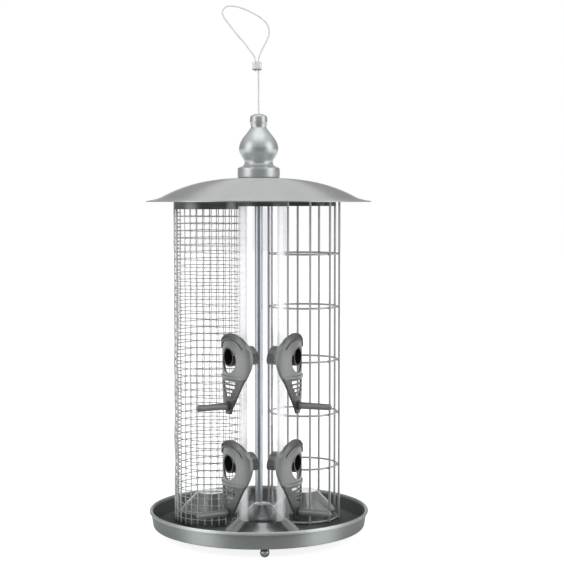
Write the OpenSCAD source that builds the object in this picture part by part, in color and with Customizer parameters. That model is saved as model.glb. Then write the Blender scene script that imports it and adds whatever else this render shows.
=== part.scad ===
/* [Layout] */
// Distance from the centre rod to the axis of each feeding tube
ring_r = 54; // [52:0.5:58]
// Height of the roof's rim above the ground
roof_z = 328; // [300:1:400]
// Angle of each feeding port away from the straight front
port_angle = 62; // [58:1:70]

/* [Tray] */
// Outside diameter of the tray over its rolled rim
tray_d = 216; // [212:1:240]
// Height of the tray from its underside to the top of the rim
tray_h = 17; // [12:0.5:20]
// Sheet thickness of the tray
tray_t = 1; // [0.8:0.1:1.6]
// Diameter of the wire rolled into the tray's rim
tray_bead_d = 3; // [2.4:0.1:4]
// Outward slope of the tray's wall
tray_flare = 2; // [0.5:0.25:4]
// Diameter of each ball foot
foot_d = 8.8; // [7:0.2:12]
// Gap between a ball foot and the tray, filled by its stud
foot_neck = 0.3; // [0.2:0.1:3]
// Distance of the feet in from the tray's edge
foot_inset = 14; // [11:0.5:20]

/* [Rod] */
// Diameter of the centre rod
rod_d = 7.5; // [7:0.1:9]
// Diameter of the rod's threaded ends
stud_d = 6; // [5:0.5:6.5]
// Height of the stud above the roof sheet
stud_rise = 14; // [10:1:20]

/* [Roof] */
// Diameter of the roof
roof_d = 220; // [210:1:250]
// Height of the dome above its rim
roof_h = 22.5; // [18:0.5:32]
// Sheet thickness of the roof
roof_t = 1; // [0.8:0.1:1.6]
// Width of the nearly flat brim
brim_w = 8.5; // [6:0.5:12]

/* [Finial] */
// Height of the finial
finial_h = 62; // [56:1:70]
// Diameter of the finial's base
finial_d = 41.2; // [38:0.2:46]
// Bore for the hanger wire
finial_bore = 3.2; // [2.6:0.1:4]

/* [Peanut tube] */
// Outside diameter of the wire mesh tube
mesh_d = 73; // [70:0.5:76]
// Number of upright wires
mesh_wires_n = 32; // [24:1:36]
// Height step between ring wires
mesh_pitch = 7.1; // [6:0.1:10]
// Diameter of the mesh wire
mesh_wire = 0.9; // [0.7:0.05:1.4]
// Height of the plain band round the top of the mesh
band_h = 9.8; // [8:0.2:14]

/* [Fat ball cage] */
// Outside diameter of the cage
cage_d = 73.8; // [70:0.2:78]
// Number of upright rods
cage_rods_n = 10; // [8:1:14]
// Diameter of the upright rods
cage_rod = 2.3; // [1.8:0.1:2.8]
// Diameter of the hoop wire
cage_hoop = 2; // [1.6:0.1:2.4]
// Number of hoops from the bottom ring to the top ring
cage_hoops_n = 7; // [5:1:9]

/* [Seed tube] */
// Outside diameter of the clear tube
seed_d = 45; // [44:0.5:47]
// Wall of the clear tube
seed_t = 1.8; // [1.4:0.1:2.2]
// Height of the lower ports' axis above the ground
port_low_z = 83.5; // [80:0.5:95]
// Height step from the lower to the upper ports
port_step = 100.4; // [90:0.2:115]

/* [Feeding port] */
// Outside diameter of the sleeve that goes into the tube
sleeve_d = 18; // [16:0.2:18.4]
// Wall of the sleeve
sleeve_t = 1.4; // [1:0.1:2]
// Distance of the sleeve's inner end from the tube's axis
sleeve_in = 7; // [6.5:0.1:9]
// Radius of the round mouth
mouth_r = 12; // [11:0.1:12.4]
// Wall of the moulded hood
hood_t = 2; // [1.4:0.1:2.4]
// Distance of the hood's face from the tube's wall
hood_reach = 15.2; // [14:0.2:18]
// Diameter of the perch at the hood
perch_d = 6.6; // [5.6:0.1:7]
// Diameter of the perch at its tip
perch_tip_d = 5.8; // [5:0.1:6.4]
// Distance of the perch's tip from the tube's wall
perch_reach = 48.5; // [40:0.5:60]

/* [Tube bases] */
// Radius of the upright skirt of the two rear bases
base_r = 32; // [30:0.2:32.2]
// Height of their skirt
skirt_h = 9; // [7:0.5:12]
// Height of the two rear bases
base_h = 27; // [22:0.5:30]
// Flat top radius of the two rear bases
base_top_r = 13.5; // [10:0.5:18]
// Radius of the upright skirt of the seed tube's base
seed_base_r = 35; // [32:0.2:35.6]
// Height of its skirt
seed_skirt_h = 7; // [6:0.5:10]
// Height of the seed tube's base
seed_base_h = 32.5; // [30:0.5:36]
// Rounded top radius of the seed tube's base
seed_base_top_r = 8; // [6:0.5:9]
// Sheet thickness of the bases
base_t = 1.5; // [1:0.1:2]

/* [Hanger] */
// Diameter of the hanger wire
wire_d = 1.6; // [1.2:0.1:1.8]
// Height of the crimp
crimp_h = 8; // [6:0.5:10]
// Width of the crimp across both strands
crimp_w = 9; // [7:0.5:10]
// Thickness of the crimp
crimp_t = 4.6; // [3.6:0.2:6]

/* [Hidden] */
$fn = 48;
// Clearance of parts that drop into each other
fit = 0.3;
// Gap left at faces that meet
seat = 0.05;
// Clearance of a screw in its hole
screw_gap = 0.2;
// Sheet thickness and collar wall of the tube holder
holder_t = 1.5;
collar_t = 1.2;

tray_z = foot_d + foot_neck;
floor_z = tray_z + tray_t;
tray_rim_z = tray_z + tray_h;
holder_z = roof_z + 3;
tube_top = holder_z - fit;
dome_z = roof_z + roof_h;
finial_z = dome_z + roof_t + seat;
stud_top = dome_z + roof_t + stud_rise;
insert_d = 2 * stud_d - 1;
insert_h = stud_rise + 2;
insert_gap = 0.05;
nut_d = stud_d + 5;
nut_h = 5;
washer_t = 1.2;
washer_r = stud_d;
foot_r = tray_d / 2 - foot_inset;
foot_stud_d = 3;
foot_nut_d = 6.4;
foot_nut_h = 2.4;
base_screw_d = 3;
base_screw_head_d = 6;
base_screw_head_h = 1.6;
base_screw_length = 14.5;
boss_r = 4;
groove_depth = 5;
port_levels = [port_low_z + port_step, port_low_z];
seed_at = [0, -ring_r];
mesh_at = [-ring_r * sin(60), ring_r * cos(60)];
cage_at = [ring_r * sin(60), ring_r * cos(60)];
seed_base_top = floor_z + seed_base_h;
mesh_r = (mesh_d - mesh_wire) / 2;
mesh_ring_r = mesh_r - mesh_wire - seat;
band_z = tube_top - band_h;
cage_r = (cage_d - cage_rod) / 2;
cage_turn = -13;
cage_hoop_r = cage_r - (cage_rod + cage_hoop) / 2 - seat;
cage_hoop_low = floor_z + cage_hoop / 2 + seat;
cage_hoop_step = (tube_top - cage_hoop / 2 - seat - cage_hoop_low) / (cage_hoops_n - 1);
seed_bore_r = seed_d / 2 - seed_t;

// Slope of the seed tube's base and the height at which the tube stands in its groove
seed_slope = (seed_base_h - seed_skirt_h) / (seed_base_r - seed_base_top_r);
seed_z = seed_base_top - (seed_d / 2 - seed_base_top_r) * seed_slope - groove_depth;

// Half outline of the port hood from its top to its tip, seen along the port's axis: half width and height
tube_r = seed_d / 2;
hood_r = tube_r + hood_reach;
hood_leaf = [
    [3.3, 21.8], [13, 19.2], [19.6, 15.2], [23.8, 8.9], [25.3, 0], [24.6, -8.9], [21.4, -18.7],
    [18.6, -23.5], [11.9, -38], [7.2, -46.2], [5, -50.5], [3.3, -53.5]
];
hood_half = 30;
ridge_grow = 1.1;
ridge_scales = [1, 0.8];
ridge_share = 0.9;
ridge_low = 7.5;
brow_z = 15;
brow_lean = 0.5;
lip_z = -20.6;
lip_h = 2.6;
// Slots of the shield: height of the lower edge and half width
slots = [[-25.2, 11.6], [-29.3, 10.2], [-33.2, 7.6], [-37, 5]];
slot_h = 2.8;
mouth_z = -3.2;
sleeve_front = 14.5;
collar_low = 2;
perch_z = -46;
perch_socket = 13.8;
boss_wall = 1.2;
boss_from = 13;
boss_to = 16.6;

// Outline of the finial from its base up: radius and height, as shares of the base radius and height
finial_r = finial_d / 2;
finial_points = [
    [0.985, 0], [1, 0.025], [0.995, 0.135], [0.945, 0.16], [0.775, 0.185], [0.68, 0.22], [0.685, 0.26],
    [0.735, 0.295], [0.825, 0.345], [0.9, 0.395], [0.935, 0.455], [0.905, 0.515], [0.835, 0.575],
    [0.715, 0.64], [0.565, 0.7], [0.43, 0.76], [0.37, 0.79], [0.38, 0.825], [0.39, 0.85], [0.413, 0.875],
    [0.405, 0.935], [0.37, 0.97], [0.18, 1]
];

// Route of the hanger wire: straight up from the stud, through the crimp, round the loop and back
wire_points = [
    [0, 0, 365.5], [0, 0, 380], [0, 0, 400], [0, 0, 420], [0, 0, 440], [0, 0, 456], [0, 0, 465],
    [1, 0, 470], [4.5, 0, 478], [8.5, 0, 486], [10.5, 0, 493], [8, 0, 501], [1.5, 0, 507],
    [-6.5, 0, 511.5], [-15.5, 0, 515.5], [-24.5, 0, 517.5], [-31, 0, 517], [-35, 0, 512.5],
    [-33.5, 0, 506.5], [-29, 0, 500.5], [-21.5, 0, 491], [-14.5, 0, 483], [-8, 0, 474.5],
    [-4, 0, 469], [-3, 0, 465], [-3, 0, 460], [-3, 0, 455]
];
wire_steps = 3;
wire_sides = 8;
crimp_z = 456;
strand_gap = 3;

// Point on the smooth curve through p1 and p2, with p0 and p3 on either side
function spline(p0, p1, p2, p3, t) =
    0.5 * (2 * p1 + (p2 - p0) * t + (2 * p0 - 5 * p1 + 4 * p2 - p3) * t * t
    + (3 * p1 - p0 - 3 * p2 + p3) * t * t * t);
// A smooth curve through a list of points, with n steps between each two
function smooth(pts, n) = [
    for (i = [0:len(pts) - 2], k = [0:n - 1])
        spline(pts[max(i - 1, 0)], pts[i], pts[i + 1], pts[min(i + 2, len(pts) - 1)], k / n),
    pts[len(pts) - 1]
];

module ring(r_out, r_in, h) {
    difference() {
        cylinder(r = r_out, h = h);
        translate([0, 0, -1]) cylinder(r = r_in, h = h + 2);
    }
}

// Ring of wire, with so many flat sides to the wire's section
module hoop(r, d, sides) {
    rotate_extrude() translate([r, 0]) circle(d = d, $fn = sides);
}

module hex_nut(d, h, bore) {
    difference() {
        cylinder(d = d, h = h, $fn = 6);
        translate([0, 0, -1]) cylinder(d = bore, h = h + 2);
    }
}

module round_about() {
    for (a = [0:120:240]) rotate([0, 0, a - 90]) children();
}

module tube_places() {
    for (p = [mesh_at, cage_at, seed_at]) translate(p) children();
}

// Dish with a slightly flared wall, a rounded lower edge and a wire rolled into its rim
module tray() {
    wall_r = tray_d / 2 - tray_bead_d / 2;
    foot = wall_r - tray_flare;
    soft = 3;
    color("dimgray") difference() {
        rotate_extrude() {
            translate([0, tray_z]) square([foot - soft, tray_t]);
            intersection() {
                translate([foot - soft, tray_z + soft]) difference() {
                    circle(soft);
                    circle(soft - tray_t);
                }
                translate([foot - soft, tray_z]) square(soft);
            }
            polygon([
                [foot - tray_t, tray_z + soft], [foot, tray_z + soft],
                [wall_r, tray_rim_z - tray_bead_d / 2], [wall_r - tray_t, tray_rim_z - tray_bead_d / 2]
            ]);
            translate([wall_r, tray_rim_z - tray_bead_d / 2]) circle(d = tray_bead_d);
        }
        translate([0, 0, tray_z - 1]) cylinder(d = stud_d + 2 * screw_gap, h = tray_t + 2);
        round_about() translate([foot_r, 0, tray_z - 1])
            cylinder(d = foot_stud_d + 2 * screw_gap, h = tray_t + 2);
        tube_places() translate([0, 0, tray_z - 1])
            cylinder(d = base_screw_d + 2 * screw_gap, h = tray_t + 2);
    }
}

// Three polished balls, each turned in one with its stud
module tray_feet() {
    color("silver") round_about() translate([foot_r, 0, 0]) {
        translate([0, 0, foot_d / 2]) sphere(d = foot_d);
        translate([0, 0, foot_d / 2]) cylinder(d = foot_stud_d, h = floor_z + foot_nut_h - foot_d / 2);
        translate([0, 0, foot_d - 0.6]) cylinder(d = foot_stud_d + 2, h = foot_neck + 0.6 - seat);
    }
}

module foot_nuts() {
    color("silver") round_about() translate([foot_r, 0, floor_z + seat])
        hex_nut(foot_nut_d, foot_nut_h, foot_stud_d + 2 * insert_gap);
}

// Steel rod with a turned-down stud at each end
module centre_rod() {
    rod_low = floor_z + washer_t + 2 * seat;
    color("lightsteelblue") {
        translate([0, 0, rod_low]) cylinder(d = rod_d, h = holder_z - seat - rod_low);
        translate([0, 0, tray_z - washer_t - nut_h - 1]) cylinder(d = stud_d, h = washer_t + nut_h + 8);
        translate([0, 0, holder_z - 5]) cylinder(d = stud_d, h = stud_top - holder_z + 5);
    }
}

module rod_washer() {
    ring(washer_r, stud_d / 2 + screw_gap, washer_t);
}

module rod_floor_washer() {
    color("silver") translate([0, 0, floor_z + seat]) rod_washer();
}

module rod_lower_washer() {
    color("silver") translate([0, 0, tray_z - washer_t - seat]) rod_washer();
}

module rod_lower_nut() {
    color("silver") translate([0, 0, tray_z - washer_t - nut_h - 2 * seat])
        hex_nut(nut_d, nut_h, stud_d + 2 * insert_gap);
}

// Pressed base: a skirt, a cone and a flat top, with a boss for its screw
module rear_base() {
    rotate_extrude() {
        difference() {
            polygon([[0, 0], [base_r, 0], [base_r, skirt_h], [base_top_r, base_h], [0, base_h]]);
            polygon([
                [-1, -1], [base_r - base_t, -1], [base_r - base_t, skirt_h - base_t / 2],
                [base_top_r - base_t / 2, base_h - base_t], [-1, base_h - base_t]
            ]);
        }
        translate([base_screw_d / 2 + insert_gap, 0])
            square([boss_r - base_screw_d / 2 - insert_gap, base_h - base_t / 2]);
    }
}

module peanut_base() {
    color("gray") translate([mesh_at.x, mesh_at.y, floor_z + seat]) rear_base();
}

module fat_ball_base() {
    color("gray") translate([cage_at.x, cage_at.y, floor_z + seat]) rear_base();
}

// Moulded cone with a rounded top and a groove that the clear tube stands in
module seed_base() {
    wall = groove_depth + base_t + 1;
    inner_top = seed_base_h - wall;
    inner_edge = max(seed_skirt_h - wall + base_t * seed_slope, 0);
    color("gray") translate([seed_at.x, seed_at.y, floor_z + seat]) difference() {
        rotate_extrude() {
            difference() {
                union() {
                    polygon([
                        [0, 0], [seed_base_r, 0], [seed_base_r, seed_skirt_h],
                        [seed_base_top_r, seed_base_h - 1], [0, seed_base_h - 1]
                    ]);
                    intersection() {
                        translate([0, seed_base_h - 4 * seed_base_top_r])
                            circle(4 * seed_base_top_r);
                        translate([0, seed_base_h - 2]) square([seed_base_top_r, 2]);
                    }
                }
                polygon([
                    [-1, -1], [seed_base_r - base_t, -1], [seed_base_r - base_t, inner_edge],
                    [seed_base_top_r - base_t, inner_top], [-1, inner_top]
                ]);
            }
            translate([base_screw_d / 2 + insert_gap, 0])
                square([boss_r - base_screw_d / 2 - insert_gap, inner_top + 1]);
        }
        translate([0, 0, seed_z - floor_z - 2 * seat])
            ring(seed_d / 2 + fit, seed_bore_r - fit, seed_base_h);
    }
}

// One screw up through the tray into the boss of each base
module base_screws() {
    head_z = tray_z - base_screw_head_h - seat;
    color("silver") tube_places() translate([0, 0, head_z]) {
        cylinder(d = base_screw_head_d, h = base_screw_head_h);
        cylinder(d = base_screw_d, h = base_screw_length);
    }
}

module mesh_wires() {
    color("silver") translate([mesh_at.x, mesh_at.y, floor_z + seat])
        for (i = [0:mesh_wires_n - 1]) rotate([0, 0, 360 * i / mesh_wires_n])
            translate([mesh_r, 0, 0]) cylinder(d = mesh_wire, h = band_z - floor_z - 2 * seat);
}

module mesh_rings() {
    color("silver") translate([mesh_at.x, mesh_at.y, 0])
        for (z = [band_z - mesh_pitch:-mesh_pitch:floor_z + mesh_wire])
            translate([0, 0, z]) hoop(mesh_ring_r, mesh_wire, 8);
}

module mesh_top_band() {
    color("dimgray") translate([mesh_at.x, mesh_at.y, band_z])
        ring(mesh_r + mesh_wire / 2, mesh_ring_r - mesh_wire / 2, band_h);
}

module cage_rods() {
    color("silver") translate([cage_at.x, cage_at.y, floor_z + seat])
        for (i = [0:cage_rods_n - 1]) rotate([0, 0, 360 * i / cage_rods_n + cage_turn])
            translate([cage_r, 0, 0]) cylinder(d = cage_rod, h = tube_top - floor_z - seat);
}

module cage_hoops() {
    color("silver") translate([cage_at.x, cage_at.y, cage_hoop_low])
        for (i = [0:cage_hoops_n - 1])
            translate([0, 0, i * cage_hoop_step]) hoop(cage_hoop_r, cage_hoop, 12);
}

// Turns from the station's frame to a port's own: X outward from the tube's wall, Z up
module at_port(side, level) {
    translate([seed_at.x, seed_at.y, port_levels[level]])
        rotate([0, 0, side > 0 ? port_angle - 90 : 270 - port_angle])
        translate([tube_r, 0, 0]) children();
}

module seed_tube() {
    color("aliceblue", 0.35) difference() {
        translate([seed_at.x, seed_at.y, seed_z]) ring(tube_r, seed_bore_r, tube_top - seed_z);
        for (side = [-1, 1], level = [0, 1]) at_port(side, level) translate([-tube_r, 0, 0])
            rotate([0, 90, 0]) cylinder(d = sleeve_d + 2 * fit, h = seed_d);
    }
}

// Leaf outline of the hood, as a share of its full size
module leaf(share) {
    half = smooth(hood_leaf, 3) * share;
    last = len(half) - 1;
    polygon(concat(half, [for (i = [last:-1:0]) [-half[i].x, half[i].y]]));
}

// Part of a drum round the tube that lies behind a flat outline, given as a child; its brow leans in
module wrapped(r_out, r_in) {
    lean = brow_lean * (hood_half - brow_z);
    intersection() {
        translate([-tube_r, 0, 0]) rotate_extrude() polygon([
            [r_in, -2 * hood_half], [r_out, -2 * hood_half], [r_out, brow_z],
            [r_out - lean, hood_half], [r_in - lean, hood_half], [r_in, brow_z]
        ]);
        rotate([90, 0, 90]) linear_extrude(hood_half) children();
    }
}

// Cylinder along the port's axis
module along(from, to, r, z) {
    translate([from, 0, z]) rotate([0, 90, 0]) cylinder(r = r, h = to - from);
}

// Moulded hood: a leaf wrapped round the tube, with a ridged brow, a round mouth and a slotted shield,
// a half collar over the sleeve and a boss for the perch
module port_hood(side, level) {
    ridge_r = hood_r + ridge_grow;
    face_r = hood_r - hood_t / 2;
    color("gray") at_port(side, level) difference() {
        union() {
            difference() {
                union() {
                    wrapped(hood_r, hood_r - hood_t) leaf(1);
                    for (share = ridge_scales) wrapped(ridge_r, face_r) intersection() {
                        difference() {
                            leaf(share);
                            leaf(share * ridge_share);
                        }
                        translate([-hood_half, ridge_low]) square([2 * hood_half, hood_half]);
                    }
                    wrapped(ridge_r, face_r) intersection() {
                        leaf(1);
                        translate([-hood_half, lip_z]) square([2 * hood_half, lip_h]);
                    }
                }
                along(0, hood_half, mouth_r, mouth_z);
                for (slot = slots) translate([0, -slot[1], slot[0]])
                    cube([hood_half, 2 * slot[1], slot_h]);
            }
            intersection() {
                along(-seed_t, hood_reach - hood_t / 2, sleeve_d / 2 + hood_t, 0);
                translate([-hood_half, -hood_half, collar_low]) cube(2 * hood_half);
            }
            along(boss_from, boss_to, perch_d / 2 + boss_wall, perch_z);
        }
        along(-hood_half, hood_half, sleeve_d / 2 + seat, 0);
        along(perch_socket, hood_half, perch_d / 2 + seat, perch_z);
        translate([-tube_r, 0, -2 * hood_half]) cylinder(r = tube_r + fit, h = 3 * hood_half);
    }
}

// Dark sleeve through the tube's wall, with its inner end cut on a slope
module port_sleeve(side, level) {
    slope = 14;
    inner = sleeve_in - tube_r;
    color("darkslategray") at_port(side, level) translate([inner, 0, 0]) difference() {
        rotate([0, 90, 0]) ring(sleeve_d / 2, sleeve_d / 2 - sleeve_t, sleeve_front - inner);
        translate([0, 0, -sleeve_d / 2]) rotate([0, slope, 0])
            translate([-sleeve_d, -sleeve_d, 0]) cube([sleeve_d, 2 * sleeve_d, 2 * sleeve_d]);
    }
}

// Turned peg with a rounded tip, pushed into the socket at the hood's lower end
module perch(side, level) {
    inner = perch_socket + seat;
    length = perch_reach - inner - perch_tip_d / 2;
    color("gray") at_port(side, level) translate([inner, 0, perch_z]) rotate([0, 90, 0]) {
        cylinder(d1 = perch_d, d2 = perch_tip_d, h = length);
        translate([0, 0, length]) sphere(d = perch_tip_d);
    }
}

module port_hood_upper_left() { port_hood(-1, 0); }
module port_hood_upper_right() { port_hood(1, 0); }
module port_hood_lower_left() { port_hood(-1, 1); }
module port_hood_lower_right() { port_hood(1, 1); }
module port_sleeve_upper_left() { port_sleeve(-1, 0); }
module port_sleeve_upper_right() { port_sleeve(1, 0); }
module port_sleeve_lower_left() { port_sleeve(-1, 1); }
module port_sleeve_lower_right() { port_sleeve(1, 1); }
module perch_upper_left() { perch(-1, 0); }
module perch_upper_right() { perch(1, 0); }
module perch_lower_left() { perch(-1, 1); }
module perch_lower_right() { perch(1, 1); }

// Plate on the rod with an open collar for each tube
module tube_holder() {
    mesh_collar_r = mesh_ring_r - mesh_wire / 2 - fit;
    cage_collar_r = cage_hoop_r - cage_hoop / 2 - fit;
    seed_collar_r = seed_d / 2 + fit + collar_t;
    collar_h = 7;
    border = 8;
    color("darkslategray") difference() {
        union() {
            translate([0, 0, holder_z]) {
                cylinder(r = ring_r - mesh_d / 2 + border, h = holder_t);
                translate(mesh_at) cylinder(d = mesh_d, h = holder_t);
                translate(cage_at) cylinder(d = cage_d, h = holder_t);
                translate(seed_at) cylinder(d = seed_d + border, h = holder_t);
                translate([-border, seed_at.y, 0]) cube([2 * border, ring_r, holder_t]);
            }
            translate([0, 0, holder_z - collar_h]) {
                translate(mesh_at) cylinder(r = mesh_collar_r, h = collar_h + seat);
                translate(cage_at) cylinder(r = cage_collar_r, h = collar_h + seat);
                translate(seed_at) cylinder(r = seed_collar_r, h = collar_h + seat);
            }
        }
        translate([0, 0, holder_z - collar_h - 1]) {
            translate(mesh_at) cylinder(r = mesh_collar_r - collar_t, h = collar_h + holder_t + 2);
            translate(cage_at) cylinder(r = cage_collar_r - collar_t, h = collar_h + holder_t + 2);
            translate(seed_at) cylinder(r = seed_bore_r, h = collar_h + holder_t + 2);
            translate(seed_at) cylinder(r = seed_d / 2 + fit, h = collar_h + 1);
            cylinder(d = stud_d + 2 * screw_gap, h = collar_h + holder_t + 2);
        }
    }
}

module holder_nut() {
    color("silver") translate([0, 0, holder_z + holder_t + seat])
        hex_nut(nut_d, nut_h, stud_d + 2 * insert_gap);
}

// Tube on the stud that carries the roof
module roof_spacer() {
    low = holder_z + holder_t + nut_h + 2 * seat;
    color("silver") translate([0, 0, low]) ring(stud_d, stud_d / 2 + screw_gap, dome_z - low - seat);
}

// Height of the sheet over the roof's rim at radius r: a dome that flares into a nearly flat brim
dome_power = 2.8;
brim_slope = 0.17;
brim_flare = 3;
function dome(r) = roof_h * (1 - pow(r / (roof_d / 2 - brim_w), dome_power));
function brim(r) = brim_slope * min(roof_d / 2 - r, brim_w);
function flared(a, b) = max(a, b) + pow(max(brim_flare - abs(a - b), 0), 2) / (4 * brim_flare);

// Spun dome with a brim
module roof() {
    steps = 30;
    under = [
        for (i = [0:steps])
            let (r = roof_d / 2 * i / steps)
            [r, flared(dome(r), brim(r))]
    ];
    color("darkgray") difference() {
        translate([0, 0, roof_z]) rotate_extrude()
            polygon(concat(under, [for (i = [steps:-1:0]) under[i] + [0, roof_t]]));
        translate([0, 0, dome_z - 1]) cylinder(d = stud_d + 1, h = roof_t + 2);
    }
}

// Turned knob with a bore for the hanger wire and a pocket for its threaded insert
module finial() {
    outline = smooth([for (p = finial_points) [p.x * finial_r, p.y * finial_h]], 4);
    color("silver") translate([0, 0, finial_z]) difference() {
        rotate_extrude() polygon(concat([[0, 0]], outline, [[0, finial_h]]));
        translate([0, 0, -1]) cylinder(d = insert_d + 2 * insert_gap, h = insert_h + 1 + seat);
        cylinder(d = finial_bore, h = finial_h + 1);
    }
}

module finial_insert() {
    color("gold") translate([0, 0, finial_z]) ring(insert_d / 2, stud_d / 2 + insert_gap, insert_h);
}

// Tube swept along a route in the XZ plane
module hanger_wire() {
    route = smooth(wire_points, wire_steps);
    last = len(route) - 1;
    rings = [
        for (i = [0:last])
            let (
                d = route[min(i + 1, last)] - route[max(i - 1, 0)],
                out = [d.z, 0, -d.x] / norm(d)
            )
            for (k = [0:wire_sides - 1])
                let (turn = 360 * k / wire_sides)
                route[i] + wire_d / 2 * (out * cos(turn) + [0, sin(turn), 0])
    ];
    sides = [
        for (i = [0:last - 1], k = [0:wire_sides - 1])
            let (a = i * wire_sides + k, b = i * wire_sides + (k + 1) % wire_sides)
            each [[a, a + wire_sides, b + wire_sides], [a, b + wire_sides, b]]
    ];
    start = [for (k = [1:wire_sides - 2]) [0, k, k + 1]];
    tip = last * wire_sides;
    end = [for (k = [1:wire_sides - 2]) [tip, tip + k + 1, tip + k]];
    color("whitesmoke") polyhedron(points = rings, faces = concat(sides, start, end));
}

// Flattened sleeve pressed over the two strands of the wire
module hanger_crimp() {
    half = (crimp_w - crimp_t) / 2;
    color("silver") translate([-strand_gap / 2, 0, crimp_z]) difference() {
        union() {
            for (x = [-half, half]) translate([x, 0, 0]) cylinder(d = crimp_t, h = crimp_h);
            translate([-half, -crimp_t / 2, 0]) cube([2 * half, crimp_t, crimp_h]);
        }
        for (x = [-strand_gap / 2, strand_gap / 2]) translate([x, 0, -1])
            cylinder(d = wire_d + fit, h = crimp_h + 2);
    }
}

tray();
tray_feet();
foot_nuts();
centre_rod();
rod_floor_washer();
rod_lower_washer();
rod_lower_nut();
peanut_base();
fat_ball_base();
seed_base();
base_screws();
mesh_wires();
mesh_rings();
mesh_top_band();
cage_rods();
cage_hoops();
seed_tube();
port_hood_upper_left();
port_hood_upper_right();
port_hood_lower_left();
port_hood_lower_right();
port_sleeve_upper_left();
port_sleeve_upper_right();
port_sleeve_lower_left();
port_sleeve_lower_right();
perch_upper_left();
perch_upper_right();
perch_lower_left();
perch_lower_right();
tube_holder();
holder_nut();
roof_spacer();
roof();
finial();
finial_insert();
hanger_wire();
hanger_crimp();
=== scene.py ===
import math
import bmesh
import bpy
from mathutils import Matrix, Vector, noise


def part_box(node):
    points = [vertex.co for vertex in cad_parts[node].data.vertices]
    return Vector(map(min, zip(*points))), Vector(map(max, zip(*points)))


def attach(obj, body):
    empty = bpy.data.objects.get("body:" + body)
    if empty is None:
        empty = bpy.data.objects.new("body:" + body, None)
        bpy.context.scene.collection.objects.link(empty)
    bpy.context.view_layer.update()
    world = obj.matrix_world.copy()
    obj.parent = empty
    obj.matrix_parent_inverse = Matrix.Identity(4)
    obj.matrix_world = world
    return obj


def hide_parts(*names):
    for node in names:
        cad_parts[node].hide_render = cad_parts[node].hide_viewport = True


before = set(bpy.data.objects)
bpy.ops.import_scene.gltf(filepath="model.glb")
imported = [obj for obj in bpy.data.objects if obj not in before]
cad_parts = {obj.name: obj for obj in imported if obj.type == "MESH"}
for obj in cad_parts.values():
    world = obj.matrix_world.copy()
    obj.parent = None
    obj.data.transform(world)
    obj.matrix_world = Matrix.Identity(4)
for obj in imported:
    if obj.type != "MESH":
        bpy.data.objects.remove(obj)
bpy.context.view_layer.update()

scene = bpy.context.scene
scene.view_settings.view_transform = "Standard"

# CAMERA
# A long lens level with the roof's rim, a little to the left of the station and tilted down, so that the roof
# shows edge on, the tray from above and the seed tube just right of the rod.
camera = bpy.data.objects.new("camera", bpy.data.cameras.new("camera"))
scene.collection.objects.link(camera)
camera.data.sensor_fit = "HORIZONTAL"
camera.data.sensor_width = 36
picture_pixels = 564
focal_pixels = 1396
camera.data.lens = focal_pixels / picture_pixels * camera.data.sensor_width
turn = math.radians(-4.2)
tilt = math.radians(-3.3)
right = Vector((math.cos(turn), math.sin(turn), 0))
ahead = Vector((-math.sin(turn), math.cos(turn), 0))
lens_aside = 0.0228
lens_distance = 1.368
lens_height = 0.328
camera.location = lens_aside * right - lens_distance * ahead + Vector((0, 0, lens_height))
camera.rotation_euler = (math.pi / 2 + tilt, 0, turn)
scene.camera = camera

# HANGER WIRE
# A thin steel cable in a pale clear coat. It comes up from the rod's stud through the finial, and its end
# is turned back into a loop that flops to the left and goes into the crimp.
MM = 0.001
wire_d = 1.6 * MM
# The route in mm, as X and Z in the plane of the loop.
wire_points = [
    (0, 365.5), (0, 380), (0, 400), (0, 420), (0, 440), (0, 456), (0, 465), (1, 470), (4.5, 478),
    (8.5, 486), (10.5, 493), (8, 501), (1.5, 507), (-6.5, 511.5), (-15.5, 515.5), (-24.5, 517.5),
    (-31, 517), (-35, 512.5), (-33.5, 506.5), (-29, 500.5), (-21.5, 491), (-14.5, 483), (-8, 474.5),
    (-4, 469), (-3, 465), (-3, 460), (-3, 455)
]


def smooth_line(points, steps):
    """A smooth curve through the points, with so many steps between each two."""
    points = [Vector(p) for p in points]
    line = []
    for i in range(len(points) - 1):
        p0, p1, p2 = points[max(i - 1, 0)], points[i], points[i + 1]
        p3 = points[min(i + 2, len(points) - 1)]
        for k in range(steps):
            t = k / steps
            line.append(0.5 * (2 * p1 + (p2 - p0) * t + (2 * p0 - 5 * p1 + 4 * p2 - p3) * t * t
                               + (3 * p1 - p0 - 3 * p2 + p3) * t ** 3))
    return line + [points[-1]]


def linear(code):
    """sRGB hex to the linear colour that a shader takes."""
    parts = [int(code[i:i + 2], 16) / 255 for i in (1, 3, 5)]
    return [p / 12.92 if p <= 0.04045 else ((p + 0.055) / 1.055) ** 2.4 for p in parts] + [1]


def new_material(name):
    """The empty node tree of a new material."""
    material = bpy.data.materials.new(name)
    material.use_nodes = True
    material.node_tree.nodes.clear()
    return material.node_tree


def material_of(tree):
    """The material that has this node tree."""
    return next(m for m in bpy.data.materials if m.node_tree == tree)


def add(tree, kind, inputs=None, **settings):
    """Adds a node, with its settings, and its inputs as values or as links from (node, output)."""
    made = tree.nodes.new(kind)
    for key, value in settings.items():
        setattr(made, key, value)
    for key, value in (inputs or {}).items():
        if isinstance(value, tuple) and isinstance(value[0], bpy.types.Node):
            tree.links.new(value[0].outputs[value[1]], made.inputs[key])
        else:
            made.inputs[key].default_value = value
    return made


def ramp(tree, factor, low, high):
    """Colours between two, by a factor given as (node, output)."""
    made = add(tree, "ShaderNodeValToRGB", {"Fac": factor})
    made.color_ramp.elements[0].color = linear(low)
    made.color_ramp.elements[1].color = linear(high)
    return made


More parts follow.
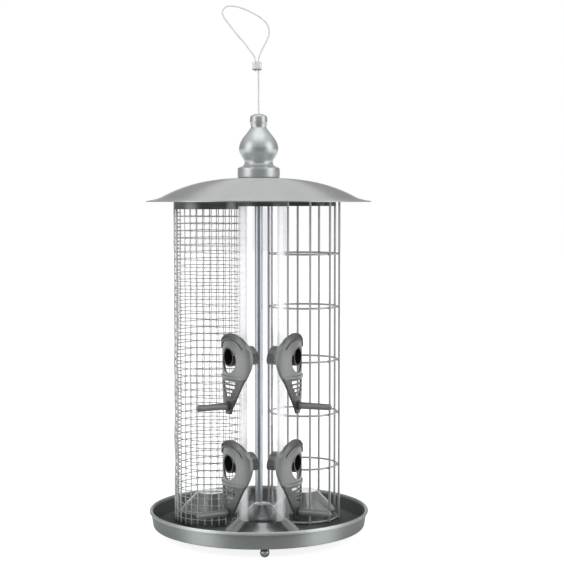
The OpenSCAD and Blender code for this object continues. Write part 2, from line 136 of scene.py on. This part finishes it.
# Steel cable under clear nylon: pale, smooth and a little glossy, with the slanting strands just showing.
# The lay of the strands is about 1 mm, drawn at 1.5 mm so that it shows. At a scale of 1 the wave repeats
# every tau / 10.
strand = 1.5 * MM
cable = new_material("nylon_coated_steel_cable")
place = add(cable, "ShaderNodeTexCoord")
lay = add(cable, "ShaderNodeTexWave", {
    "Vector": (place, "Object"), "Scale": math.tau / (10 * strand), "Distortion": 0.4},
    bands_direction="DIAGONAL")
strands = ramp(cable, (lay, "Fac"), "#e4e4e4", "#f0f0ef")
raised = add(cable, "ShaderNodeBump", {"Height": (lay, "Fac"), "Strength": 0.03, "Distance": 0.1 * MM})
skin = add(cable, "ShaderNodeBsdfPrincipled", {
    "Base Color": (strands, "Color"), "Roughness": 0.3, "IOR": 1.53, "Normal": (raised, "Normal")})
add(cable, "ShaderNodeOutputMaterial", {"Surface": (skin, "BSDF")})

line = bpy.data.curves.new("hanger_cable", "CURVE")
line.dimensions = "3D"
line.bevel_depth = wire_d / 2
line.bevel_resolution = 5
line.use_fill_caps = True
route = smooth_line([(x * MM, 0, z * MM) for x, z in wire_points], 8)
spline = line.splines.new("POLY")
spline.points.add(len(route) - 1)
for point, spot in zip(spline.points, route):
    point.co = (*spot, 1)
spline.use_smooth = True
line.materials.append(material_of(cable))
wire = bpy.data.objects.new("hanger_cable", line)
scene.collection.objects.link(wire)
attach(wire, "station")
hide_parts("hanger_wire")

# CRIMP
# A short length of aluminium tube, pressed flat over both strands of the cable, which closes the loop.
# The grip of the pressing alone holds it.


def dress(tree, *names):
    """Gives the material to the solids of these names."""
    for name in names:
        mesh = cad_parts[name].data
        mesh.materials.clear()
        mesh.materials.append(material_of(tree))


def grained(name, dark, light, size, bump, spun=False, **skin):
    """A finish whose tone wanders between two colours over grains of one size, raised to match.

    On spun sheet the highlights are drawn out across the marks, which run round the Z axis."""
    tree = new_material(name)
    place = add(tree, "ShaderNodeTexCoord")
    grain = add(tree, "ShaderNodeTexNoise", {"Vector": (place, "Object"), "Scale": 1 / size, "Detail": 3})
    tone = ramp(tree, (grain, "Fac"), dark, light)
    raised = add(tree, "ShaderNodeBump", {"Height": (grain, "Fac"), "Strength": bump, "Distance": 0.1 * MM})
    shader = add(tree, "ShaderNodeBsdfPrincipled", {
        "Base Color": (tone, "Color"), "Normal": (raised, "Normal")})
    for key, value in skin.items():
        shader.inputs[key.replace("_", " ")].default_value = value
    if spun:
        marks = add(tree, "ShaderNodeTangent", direction_type="RADIAL", axis="Z")
        tree.links.new(marks.outputs[0], shader.inputs["Tangent"])
        shader.inputs["Anisotropic"].default_value = 0.95
        shader.inputs["Anisotropic Rotation"].default_value = 0.25
    add(tree, "ShaderNodeOutputMaterial", {"Surface": (shader, "BSDF")})
    return tree


def shaded(tree, factor):
    """Multiplies the finish's colour by a factor that changes over the piece."""
    tone = next(n for n in tree.nodes if n.type == "VALTORGB")
    skin = next(n for n in tree.nodes if n.type == "BSDF_PRINCIPLED")
    paint = add(tree, "ShaderNodeVectorMath", {0: (tone, "Color"), 1: factor}, operation="MULTIPLY")
    tree.links.new(paint.outputs[0], skin.inputs["Base Color"])


# Pressed aluminium: nearly white and satin, with the marks of the pressing tool, about 0.6 mm across.
pressed = grained("pressed_aluminium", "#ececec", "#f8f8f8", 0.6 * MM, 0.15, Metallic=0.15, Roughness=0.36)
# Its lower end is painted dark, painted shade, darkest in the lowest 0.8 mm and gone by 1.6 mm.
crimp_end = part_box("hanger_crimp")[0].z
place = add(pressed, "ShaderNodeNewGeometry")
axes = add(pressed, "ShaderNodeSeparateXYZ", {0: (place, "Position")})
painted_shade_lower_end = add(pressed, "ShaderNodeMapRange", {
    "Value": (axes, "Z"), "From Min": crimp_end + 0.8 * MM, "From Max": crimp_end + 1.6 * MM, "To Min": 0.25})
shaded(pressed, (painted_shade_lower_end, "Result"))
dress(pressed, "hanger_crimp")

# TRAY
# A dish pressed from steel sheet and spun true, with a wire rolled into its rim, in dark grey enamel.
# The enamel is metallic and satin, so the soft boxes lie on the wall as wide upright bands, and has orange
# peel of 1.2 mm.
enamel = grained("dark_grey_metallic_enamel", "#b6bcbb", "#c9cecd", 1.2 * MM, 0.05, spun=True,
                 Metallic=1, Roughness=0.6)
# Inside, below the rim, the colour is painted down to half, painted shade on the faces that look up or
# towards the axis. On the rim it is painted up to half as bright again, a painted highlight, so the rolled
# edge is the brightest line of the tray.
place = add(enamel, "ShaderNodeNewGeometry")
axes = add(enamel, "ShaderNodeSeparateXYZ", {0: (place, "Position")})
flat = add(enamel, "ShaderNodeVectorMath", {0: (place, "Position"), 1: (1, 1, 0)}, operation="MULTIPLY")
away = add(enamel, "ShaderNodeVectorMath", {0: (flat, 0)}, operation="NORMALIZE")
outward = add(enamel, "ShaderNodeVectorMath", {0: (place, "Normal"), 1: (away, 0)}, operation="DOT_PRODUCT")
outer = add(enamel, "ShaderNodeMapRange", {"Value": (outward, "Value"), "From Min": 0.1, "From Max": 0.4})
rim_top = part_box("tray")[1].z
rim = add(enamel, "ShaderNodeMapRange", {
    "Value": (axes, "Z"), "From Min": rim_top - 4 * MM, "From Max": rim_top - 2 * MM})
shown = add(enamel, "ShaderNodeMath", {0: (outer, "Result"), 1: (rim, "Result")}, operation="MAXIMUM")
# Painted shade: faces that neither look outward nor lie on the rim are darkened to half.
painted_inner_shade = add(enamel, "ShaderNodeMapRange", {"Value": (shown, 0), "To Min": 0.5})
# Painted highlight: the rim is lightened by up to half.
painted_rim_highlight = add(enamel, "ShaderNodeMapRange", {"Value": (rim, "Result"), "To Min": 1, "To Max": 1.5})
shade = add(enamel, "ShaderNodeMath", {0: (painted_inner_shade, "Result"), 1: (painted_rim_highlight, "Result")}, operation="MULTIPLY")
shaded(enamel, (shade, 0))
dress(enamel, "tray")

# FEET, ROD AND FASTENERS
# The centre rod, nuts, washers and screws are plain polished steel. The rod is bolted to the tray's floor.
# The three turned ball feet are nickel plated, and their studs go up through the floor into nuts.
steel = new_material("polished_turned_steel")
place = add(steel, "ShaderNodeTexCoord")
# Turning marks run round the pieces, 4 mm long and 0.5 mm apart, and change tone and gloss a little. The rod
# shows the room as long upright streaks.
mark_length = 4 * MM
stretch = add(steel, "ShaderNodeMapping", {"Vector": (place, "Object"), "Scale": (1, 1, 8)})
turned = add(steel, "ShaderNodeTexNoise", {
    "Vector": (stretch, "Vector"), "Scale": 1 / mark_length, "Detail": 4})
tone = ramp(steel, (turned, "Fac"), "#b8bfc2", "#c8cfd2")
rough = add(steel, "ShaderNodeMapRange", {"Value": (turned, "Fac"), "To Min": 0.26, "To Max": 0.3})
skin = add(steel, "ShaderNodeBsdfPrincipled", {
    "Base Color": (tone, "Color"), "Metallic": 1, "Roughness": (rough, "Result")})
add(steel, "ShaderNodeOutputMaterial", {"Surface": (skin, "BSDF")})
dress(steel, "foot_nuts", "centre_rod", "rod_floor_washer", "rod_lower_washer", "rod_lower_nut",
      "base_screws", "holder_nut", "roof_spacer")
# Nickel over turned steel, with marks of 0.8 mm: the balls mirror the shade under the tray.
nickel = grained("dull_nickel_plated_steel", "#b4b6b6", "#d0d2d2", 0.8 * MM, 0.1, Metallic=1, Roughness=0.3)
dress(nickel, "tray_feet")

# TUBE BASES
# Three cones pressed from steel sheet on the tray's floor, one inside each tube, screwed on from below.
# Their grey lacquer is glossier than the tray's enamel, with cloudy patches of about 9 mm.
lacquered = grained("grey_lacquered_steel", "#7a7d7d", "#989b9a", 9 * MM, 0.05,
                    Metallic=0.85, Roughness=0.26, Coat_Weight=1, Coat_Roughness=0.05)
# Seen nearly edge on, the colour is painted up to three times lighter, a painted highlight, so each cone has
# a bright outline.
slant = add(lacquered, "ShaderNodeLayerWeight", {"Blend": 0.5})
painted_outline_highlight = add(lacquered, "ShaderNodeMapRange", {
    "Value": (slant, "Facing"), "From Min": 0.55, "From Max": 0.75, "To Min": 1, "To Max": 3})
shaded(lacquered, (painted_outline_highlight, "Result"))
dress(lacquered, "peanut_base", "fat_ball_base", "seed_base")

# PEANUT MESH
# Upright and round wires of galvanised steel, spot-welded where they cross, with a plain band round the top.
# Zinc gives the wire a pale, slightly patchy grey over about 3 mm; the round wires inside get a darker copy
# of it.
galvanised = grained("galvanised_steel_wire", "#d4d6d6", "#eaecec", 3 * MM, 0.1, Metallic=0.2, Roughness=0.4)
inner_zinc = grained("weathered_zinc_wire", "#a4a6a6", "#c4c6c6", 3 * MM, 0.1, Metallic=0.4, Roughness=0.4)
# The band is darker sheet with rolling marks of 4 mm.
band = grained("dull_zinc_sheet", "#5f6161", "#7d7f7f", 4 * MM, 0.1, Metallic=0.8, Roughness=0.3)
dress(band, "mesh_top_band")
# The wires are a little crooked, as welding and rolling leave them, and thicker where a weld joins two.
uprights_low, uprights_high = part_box("mesh_wires")
rounds_low, rounds_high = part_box("mesh_rings")
mesh_axis = (uprights_low + uprights_high) / 2
thread_r = 0.45 * MM
uprights = 32
rounds = 43
upright_r = (uprights_high.x - uprights_low.x) / 2 - thread_r
round_r = (rounds_high.x - rounds_low.x) / 2 - thread_r
pitch = (rounds_high.z - rounds_low.z - 2 * thread_r) / (rounds - 1)
cell = math.tau / uprights
# Each wire has three points to a cell, the first of them at a weld.
per_cell = 3
wire_sides = 6
# Close to its two ends the sheet is held true.
held = 20 * MM
# A fixed seed, without which the noise starts from the clock and each run would give another mesh.
noise.seed_set(1)


def mesh_point(radius, angle, z):
    """A point of the rolled sheet, off its true place by up to half a millimetre, but not at its two ends."""
    spot = Vector((radius * math.cos(angle), radius * math.sin(angle), z))
    bend = noise.noise_vector(spot / (25 * MM)) * 0.6 * MM
    kink = noise.noise_vector(spot / (7 * MM)) * 0.2 * MM
    free = min(1, (z - uprights_low.z) / held, (uprights_high.z - z) / held)
    return spot + Vector((mesh_axis.x, mesh_axis.y, 0)) + (bend + kink) * free


def weld_swell(k):
    """The wire's radius at its k-th point."""
    return thread_r * (1.2 if k % per_cell == 0 else 0.9)


def lay_wire(form, path, sides, radii, closed=False):
    """A wire along a path, with its radius and the two directions across it at each point."""
    loops = []
    for spot, radius, (across, over) in zip(path, radii, sides):
        loops.append([form.verts.new(spot + radius * (math.cos(t) * across + math.sin(t) * over))
                      for t in (k * math.tau / wire_sides for k in range(wire_sides))])
    for one, two in zip(loops, loops[1:] + loops[:1] if closed else loops[1:]):
        for k in range(wire_sides):
            form.faces.new((one[k], one[k - 1], two[k - 1], two[k])).smooth = True
    if not closed:
        form.faces.new(loops[0])
        form.faces.new(loops[-1][::-1])


def piece_of(name, form, tree):
    """An object made from the form, in one material."""
    bmesh.ops.recalc_face_normals(form, faces=form.faces)
    made = bpy.data.meshes.new(name)
    form.to_mesh(made)
    form.free()
    made.materials.append(material_of(tree))
    piece = bpy.data.objects.new(name, made)
    scene.collection.objects.link(piece)
    return piece


# The sheet's end laps over inside on the left, over six wires, half a cell off the layer outside it.
lap_wires = 6
lap_angles = [math.pi + (i - (lap_wires - 1) / 2) * cell for i in range(lap_wires)]
lap_upright_r = round_r - 2 * thread_r
lap_round_r = round_r - 4 * thread_r
first_ring = rounds_low.z + thread_r
steps_up = per_cell * (rounds - 1) + 1
heights = [uprights_low.z] + [first_ring + k * pitch / per_cell for k in range(steps_up)] + [uprights_high.z]
swells = [thread_r] + [weld_swell(k) for k in range(steps_up)] + [thread_r]
form = bmesh.new()
for radius, angles in ((upright_r, [i * cell for i in range(uprights)]), (lap_upright_r, lap_angles)):
    for angle in angles:
        lay_wire(form, [mesh_point(radius, angle, z) for z in heights],
                 [(Vector((1, 0, 0)), Vector((0, 1, 0)))] * len(heights), swells)
upright_wires = piece_of("mesh_upright_wires", form, galvanised)
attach(upright_wires, "station")
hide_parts("mesh_wires")

all_round = [i * cell / per_cell for i in range(per_cell * uprights)]
over_lap = [lap_angles[0] + i * cell / per_cell for i in range(per_cell * (lap_wires - 1) + 1)]
form = bmesh.new()
for radius, angles, rise, closed in (
        (round_r, all_round, 0, True), (lap_round_r, over_lap, pitch / 2, False)):
    for k in range(rounds):
        lay_wire(form, [mesh_point(radius, a, first_ring + k * pitch + rise) for a in angles],
                 [(Vector((math.cos(a), math.sin(a), 0)), Vector((0, 0, 1))) for a in angles],
                 [weld_swell(i) for i in range(len(angles))], closed)
round_wires = piece_of("mesh_round_wires", form, inner_zinc)
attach(round_wires, "station")
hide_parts("mesh_rings")

# FAT BALL CAGE
# Stouter drawn wire, ten rods welded to the outside of seven hoops.
# A thin grey powder coat, satin, with a grain of 0.8 mm.
powder = grained("grey_powder_coat", "#acaeae", "#c6c8c8", 0.8 * MM, 0.2, Metallic=0.4, Roughness=0.35)
dress(powder, "cage_rods", "cage_hoops")
# Each crossing of a rod and a hoop is closed by a small uneven bead of weld, under the same coat.
rod_count = 10
hoop_count = 7
cage_turn = math.radians(-13)
hoops_low, hoops_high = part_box("cage_hoops")
cage_axis = (hoops_low + hoops_high) / 2
hoop_wire = 2 * MM
hoop_pitch = (hoops_high.z - hoops_low.z - hoop_wire) / (hoop_count - 1)
weld_r = (hoops_high.x - hoops_low.x) / 2
bead_r = 1.1 * MM
bead_shape = Matrix.Diagonal((0.7, 1.5, 1.25, 1))
form = bmesh.new()
for hoop in range(hoop_count):
    z = hoops_low.z + hoop_wire / 2 + hoop * hoop_pitch
    for rod in range(rod_count):
        spin = Matrix.Rotation(cage_turn + rod * math.tau / rod_count, 4, "Z")
        spot = Matrix.Translation((cage_axis.x, cage_axis.y, z)) @ spin @ Matrix.Translation((weld_r, 0, 0))
        bmesh.ops.create_icosphere(form, subdivisions=2, radius=bead_r, matrix=spot @ bead_shape)
for corner in form.verts:
    corner.co += 0.1 * MM * noise.noise_vector(corner.co / (1.2 * MM))
for side in form.faces:
    side.smooth = True
welds = piece_of("cage_welds", form, powder)
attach(welds, "station")

# SEED TUBE
# A clear extruded tube with four bored holes, standing in the groove of its base and held by the top collar.
# Clear acrylic: seen straight on it hardly shows, and the wall seen along its thickness is milky.
acrylic = new_material("clear_extruded_acrylic")
place = add(acrylic, "ShaderNodeTexCoord")
# Faint drawing lines along the tube, about 3 mm apart.
line_gap = 3 * MM
stretch = add(acrylic, "ShaderNodeMapping", {"Vector": (place, "Object"), "Scale": (1, 1, 0.02)})
lines = add(acrylic, "ShaderNodeTexNoise", {
    "Vector": (stretch, "Vector"), "Scale": 1 / line_gap, "Detail": 1})
drawn = add(acrylic, "ShaderNodeBump", {"Height": (lines, "Fac"), "Strength": 0.03, "Distance": 0.2 * MM})
clear = add(acrylic, "ShaderNodeBsdfTransparent", {"Color": linear("#fefeff")})
gloss = add(acrylic, "ShaderNodeBsdfGlossy", {"Roughness": 0.08, "Normal": (drawn, "Normal")})
slant = add(acrylic, "ShaderNodeLayerWeight", {"Blend": 0.5})
mirror = add(acrylic, "ShaderNodeMapRange", {
    "Value": (slant, "Facing"), "From Min": 0.6, "From Max": 0.95, "To Min": 0.04, "To Max": 0.6})
shiny = add(acrylic, "ShaderNodeMixShader", {0: (mirror, "Result"), 1: (clear, "BSDF"), 2: (gloss, "BSDF")})
# The milky part passes light on to both sides, and a painted glow of strength 0.36 lights it up there too.
milk = add(acrylic, "ShaderNodeBsdfTranslucent", {"Color": linear("#fbfcfd")})
haze = add(acrylic, "ShaderNodeBsdfDiffuse", {"Color": linear("#fbfcfd")})
matt = add(acrylic, "ShaderNodeMixShader", {0: 0.5, 1: (milk, "BSDF"), 2: (haze, "BSDF")})
painted_glow = add(acrylic, "ShaderNodeEmission", {"Strength": 0.36})
milk_and_painted_glow = add(acrylic, "ShaderNodeAddShader", {0: (matt, "Shader"), 1: (painted_glow, "Emission")})
# It is strongest a little inside the tube's edges, and weaker right at them.
most_milk = 0.27
edge_milk = 0.15
edge = add(acrylic, "ShaderNodeValToRGB", {"Fac": (slant, "Facing")})
edge.color_ramp.elements[0].position = 0.2
edge.color_ramp.elements[1].color = (edge_milk, edge_milk, edge_milk, 1)
edge.color_ramp.elements[1].position = 0.7
for slope in (0.32, 0.5):
    edge.color_ramp.elements.new(slope).color = (most_milk, most_milk, most_milk, 1)
both = add(acrylic, "ShaderNodeMixShader", {0: (edge, "Color"), 1: (shiny, "Shader"), 2: (milk_and_painted_glow, "Shader")})
add(acrylic, "ShaderNodeOutputMaterial", {"Surface": (both, "Shader")})
dress(acrylic, "seed_tube")

# FEEDING PORTS
# Each port is a grey moulded leaf with a mouth and a slotted shield, wrapped round the tube, a dark sleeve
# that goes through the tube's wall, and a peg that birds stand on.
ports = [level + "_" + side for level in ("upper", "lower") for side in ("left", "right")]
hood_low, hood_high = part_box("port_hood_lower_left")
port_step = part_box("port_hood_upper_left")[0].z - hood_low.z
# Satin polypropylene with the mottled grain of the mould, 0.9 mm, drawn at 1.8 mm so that it shows.
moulding = new_material("satin_grey_polypropylene")
hood_grain = 1.8 * MM
place = add(moulding, "ShaderNodeTexCoord")
grain = add(moulding, "ShaderNodeTexNoise", {
    "Vector": (place, "Object"), "Scale": 1 / hood_grain, "Detail": 2})
# The height within a hood, as a share of the step from port to port. By it painted shade is laid on: the
# shield below the lip is painted darker than the cheek, and the ridged brow a tone between the two.
axes = add(moulding, "ShaderNodeSeparateXYZ", {0: (place, "Object")})
levels = add(moulding, "ShaderNodeMath", {
    0: (axes, "Z"), 1: 1 / port_step, 2: -hood_low.z / port_step}, operation="MULTIPLY_ADD")
height = add(moulding, "ShaderNodeMath", {0: (levels, 0)}, operation="FRACT")
height_for_painted_shade = add(moulding, "ShaderNodeMath", {
    0: (grain, "Fac"), 1: 0.01, 2: (height, 0)}, operation="MULTIPLY_ADD")
lip = 34 * MM / port_step
brow = (hood_high.z - hood_low.z) / port_step
cheek = 0.55 * lip + 0.45 * brow
# Painted shade by height: darkest on the shield, lightest on the cheek, darker again at the brow.
tone = ramp(moulding, (height_for_painted_shade, 0), "#4c4e4d", "#6a6c6b")
tone.color_ramp.elements[1].position = brow
for share, code in ((lip - 0.01, "#626463"), (lip + 0.01, "#888a89"), (cheek, "#8c8e8d")):
    tone.color_ramp.elements.new(share).color = linear(code)
bumps = add(moulding, "ShaderNodeBump", {"Height": (grain, "Fac"), "Strength": 0.3, "Distance": 0.15 * MM})
skin = add(moulding, "ShaderNodeBsdfPrincipled", {
    "Base Color": (tone, "Color"), "Metallic": 0.35, "Roughness": 0.34, "Normal": (bumps, "Normal")})
add(moulding, "ShaderNodeOutputMaterial", {"Surface": (skin, "BSDF")})
# The grain also mottles the colour, much more on the shield than above the lip.
depth = add(moulding, "ShaderNodeMapRange", {
    "Value": (height, 0), "From Min": lip - 0.02, "From Max": lip + 0.02, "To Min": 1.4, "To Max": 0.25})
uneven = add(moulding, "ShaderNodeMath", {0: (grain, "Fac"), 1: 0.5}, operation="SUBTRACT")
mottle = add(moulding, "ShaderNodeMath", {
    0: (uneven, 0), 1: (depth, "Result"), 2: 1}, operation="MULTIPLY_ADD")
shaded(moulding, (mottle, 0))
dress(moulding, *["port_hood_" + p for p in ports])
# The perches are plain moulded pegs of the same grey, smoother, with marks of 2 mm.
peg = grained("smooth_grey_polypropylene", "#737574", "#868887", 2 * MM, 0.05, Metallic=0.2, Roughness=0.35)
dress(peg, *["perch_" + p for p in ports])
# The sleeves are darker and satin, with a grain of 0.9 mm. Their outer end, inside the hood, is painted
# nearly black, painted shade, so that the mouth looks deep.
sleeve = grained("dark_grey_polypropylene", "#707271", "#868887", 0.9 * MM, 0.12, Metallic=0.3, Roughness=0.3)
tube_low, tube_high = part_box("seed_tube")
tube_axis = (tube_low + tube_high) / 2
tube_r = (tube_high.x - tube_low.x) / 2
place = add(sleeve, "ShaderNodeNewGeometry")
off_axis = add(sleeve, "ShaderNodeVectorMath", {
    0: (place, "Position"), 1: (tube_axis.x, tube_axis.y, 0)}, operation="SUBTRACT")
flat = add(sleeve, "ShaderNodeVectorMath", {0: (off_axis, 0), 1: (1, 1, 0)}, operation="MULTIPLY")
reach = add(sleeve, "ShaderNodeVectorMath", {0: (flat, 0)}, operation="LENGTH")
painted_shade_mouth = add(sleeve, "ShaderNodeMapRange", {
    "Value": (reach, "Value"), "From Min": tube_r + 1 * MM, "From Max": tube_r + 5 * MM,
    "To Min": 1, "To Max": 0.12})
shaded(sleeve, (painted_shade_mouth, "Result"))
dress(sleeve, *["port_sleeve_" + p for p in ports])

# TUBE HOLDER
# The dark moulded plate under the roof, with a collar for each tube, held on the stud by a nut.
# Nearly black polypropylene, satin, with a mould grain of 0.9 mm.
dark = grained("black_grey_polypropylene", "#424443", "#585a59", 0.9 * MM, 0.12, Metallic=0.3, Roughness=0.3)
dress(dark, "tube_holder")

# ROOF
# A dome spun from steel sheet, which flares into a nearly flat brim and sits under the finial.
# Satin silver grey enamel with orange peel of 1.2 mm: the marks of the spinning draw its highlights out.
silver = grained("satin_silver_grey_enamel", "#b4b6b5", "#c0c2c1", 1.2 * MM, 0.06, spun=True,
                 Metallic=0.8, Roughness=0.46, Specular_IOR_Level=0.2)
dress(silver, "roof")

# FINIAL
# A turned knob that screws down on the roof, with a threaded brass insert in its base.
# Satin silver lacquer with flakes of 0.7 mm: bright bands from the soft boxes down both sides.
lacquer = grained("satin_silver_lacquer", "#b6babb", "#c8cccd", 0.7 * MM, 0.03, Metallic=0.75, Roughness=0.38)
dress(lacquer, "finial")
# Plain brass with turning marks of 0.8 mm, seen only when the roof is off.
brass = grained("turned_brass", "#b08a45", "#cda75e", 0.8 * MM, 0.1, Metallic=1, Roughness=0.3)
dress(brass, "finial_insert")

# STUDIO
# A white board as floor, a tall soft box on each side a little in front of the station, a soft light
# overhead and a white backdrop. The board ends just in front of the tray, so that the fronts of the metal
# pieces mirror a darker room.
board_r = 8
front_edge = -0.15
floor_mesh = bpy.data.meshes.new("studio_floor")
form = bmesh.new()
bmesh.ops.create_circle(form, cap_ends=True, radius=board_r, segments=64)
for corner in form.verts:
    corner.co.y = max(corner.co.y, front_edge)
form.to_mesh(floor_mesh)
form.free()
floor = bpy.data.objects.new("studio_floor", floor_mesh)
scene.collection.objects.link(floor)
# Matt white board: the lamps shade it, and what the lens sees of it is lifted to white, also through the
# clear tube.
board = new_material("matt_white_board")
lifted = 0.86
ray = add(board, "ShaderNodeLightPath")
matt = add(board, "ShaderNodeBsdfDiffuse", {"Color": linear("#d0d0d0")})
seen = add(board, "ShaderNodeMath", {
    0: (ray, "Is Camera Ray"), 1: (ray, "Is Transmission Ray")}, operation="MAXIMUM")
direct = add(board, "ShaderNodeMath", {0: (seen, 0), 1: lifted}, operation="MULTIPLY")
# Metal shows the white board too, but not close round the tray, where its shadow lies.
place = add(board, "ShaderNodeNewGeometry")
reach = add(board, "ShaderNodeVectorMath", {0: (place, "Position")}, operation="LENGTH")
shadow = add(board, "ShaderNodeMapRange", {
    "Value": (reach, "Value"), "From Min": 0.13, "From Max": 0.3, "To Min": 0.0, "To Max": lifted})
mirrored = add(board, "ShaderNodeMath", {
    0: (ray, "Is Glossy Ray"), 1: (shadow, "Result")}, operation="MULTIPLY")
level = add(board, "ShaderNodeMath", {0: (direct, 0), 1: (mirrored, 0)}, operation="MAXIMUM")
lift = add(board, "ShaderNodeEmission", {"Strength": (level, 0)})
both = add(board, "ShaderNodeAddShader", {0: (matt, "BSDF"), 1: (lift, "Emission")})
add(board, "ShaderNodeOutputMaterial", {"Surface": (both, "Shader")})
floor_mesh.materials.append(material_of(board))

for name, spot, aim, size, watts in (
        ("soft_box_left", (-1.2, -0.54, 0.5), (0, 0, 0.25), (0.9, 1.65), 8.5),
        ("soft_box_right", (1.2, -0.54, 0.5), (0, 0, 0.25), (0.9, 1.65), 8.5),
        ("overhead", (0, -0.1, 1.7), (0, 0, 0.2), (1.3, 1.3), 6)):
    lamp = bpy.data.objects.new(name, bpy.data.lights.new(name, "AREA"))
    scene.collection.objects.link(lamp)
    lamp.data.shape = "RECTANGLE"
    lamp.data.size, lamp.data.size_y = size
    lamp.data.energy = watts
    lamp.location = spot
    lamp.rotation_euler = (Vector(aim) - Vector(spot)).to_track_quat("-Z", "Y").to_euler()

# The room: a white backdrop, which metal and clear pieces show too, and darker round the sides and behind the
# lens, with a pale ceiling.
world = bpy.data.worlds.new("studio")
scene.world = world
world.use_nodes = True
room = world.node_tree
room.nodes.clear()
ray = add(room, "ShaderNodeLightPath")
place = add(room, "ShaderNodeTexCoord")
axes = add(room, "ShaderNodeSeparateXYZ", {0: (place, "Generated")})
ceiling = add(room, "ShaderNodeMapRange", {
    "Value": (axes, "Z"), "From Min": 0.1, "From Max": 0.8, "To Min": 0.17, "To Max": 0.8})
backdrop = add(room, "ShaderNodeMapRange", {"Value": (axes, "Y"), "From Min": 0.88, "From Max": 0.97})
walls = add(room, "ShaderNodeMath", {0: (ceiling, "Result"), 1: (backdrop, "Result")}, operation="MAXIMUM")
shown = add(room, "ShaderNodeBackground", {"Color": (1, 1, 1, 1), "Strength": 1.0})
mirror = add(room, "ShaderNodeBackground", {"Color": (1, 1, 1, 1), "Strength": (walls, 0)})
fill = add(room, "ShaderNodeBackground", {"Color": (1, 1, 1, 1), "Strength": 0.45})
straight = add(room, "ShaderNodeMath", {
    0: (ray, "Is Camera Ray"), 1: (ray, "Is Transmission Ray")}, operation="MAXIMUM")
metal = add(room, "ShaderNodeMixShader", {
    0: (ray, "Is Glossy Ray"), 1: (fill, "Background"), 2: (mirror, "Background")})
all_rays = add(room, "ShaderNodeMixShader", {
    0: (straight, 0), 1: (metal, "Shader"), 2: (shown, "Background")})
add(room, "ShaderNodeOutputWorld", {"Surface": (all_rays, "Shader")})
